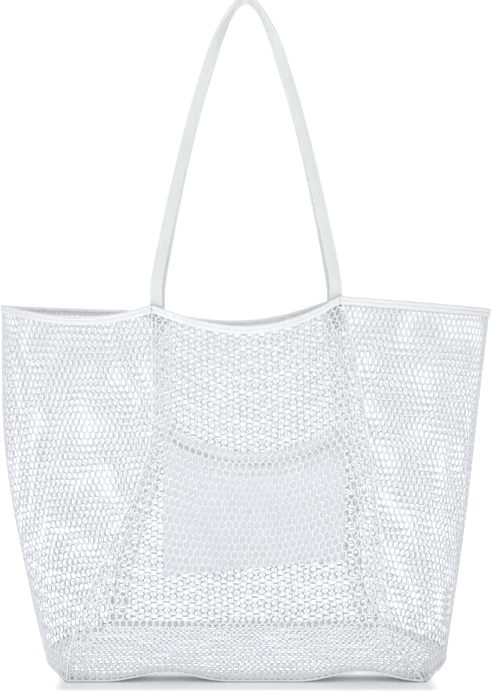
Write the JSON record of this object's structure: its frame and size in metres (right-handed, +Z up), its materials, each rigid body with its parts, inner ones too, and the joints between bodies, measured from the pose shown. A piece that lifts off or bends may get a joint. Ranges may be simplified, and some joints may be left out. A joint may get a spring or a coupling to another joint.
{
  "type": "beach bag",
  "caption": "Open-net tote bag that stands on its base, with two strap handles, bound rim and seams, and a zipped inner pocket.",
  "frame": {"origin": "on the floor under the middle of the bag", "axes": "+Z up, front panel faces -Y, +X to the right of a person who faces the front panel"},
  "size_m": [0.491, 0.196, 0.654],
  "materials": {
    "net": "knitted polyester net, semi-matte",
    "tape": "woven polyester tape, soft sheen",
    "strap": "folded woven strap, soft sheen",
    "pocket_cloth": "closely woven polyester, matte",
    "zip_tape": "woven zip tape, matte",
    "zip_coil": "nylon coil, satin",
    "zip_metal": "white enamelled zinc, glossy"
  },
  "bodies": {
    "bag": {"front_panel": "net", "back_panel": "net", "left_gusset": "net", "right_gusset": "net", "base_panel": "net", "front_rim_binding": "tape", "back_rim_binding": "tape", "left_rim_binding": "tape", "right_rim_binding": "tape", "front_left_seam_tape": "tape", "front_right_seam_tape": "tape", "back_left_seam_tape": "tape", "back_right_seam_tape": "tape", "front_base_tape": "tape", "back_base_tape": "tape", "left_base_tape": "tape", "right_base_tape": "tape", "front_left_strap_end": "strap", "front_right_strap_end": "strap", "back_left_strap_end": "strap", "back_right_strap_end": "strap", "pocket_back": "pocket_cloth", "pocket_front": "pocket_cloth", "zip_upper_tape": "zip_tape", "zip_lower_tape": "zip_tape", "zip_coil": "zip_coil", "zip_stops": "zip_metal"},
    "front_handle": {"front_handle": "strap"},
    "back_handle": {"back_handle": "strap"},
    "zip_slider": {"zip_slider": "zip_metal"},
    "zip_puller": {"zip_puller": "zip_metal"}
  },
  "joints": [
    {"name": "front_handle_swing", "type": "hinge", "parent": "bag", "child": "front_handle", "pos_m": [0, -0.0863, 0.3694], "axis": [1, 0, 0], "range_deg": [0, 145]},
    {"name": "back_handle_swing", "type": "hinge", "parent": "bag", "child": "back_handle", "pos_m": [0, 0.0863, 0.3694], "axis": [-1, 0, 0], "range_deg": [0, 145]},
    {"name": "zip_slide", "type": "hinge", "parent": "bag", "child": "zip_slider", "pos_m": [0.009, 0.079, 0.34], "axis": [0, 1, 0], "range_deg": [0, 62.5]},
    {"name": "puller_swing", "type": "hinge", "parent": "zip_slider", "child": "zip_puller", "pos_m": [0.09351, 0.0766, 0.2012], "axis": [-0.8541, 0, -0.5201], "range_deg": [0, 140]}
  ]
}
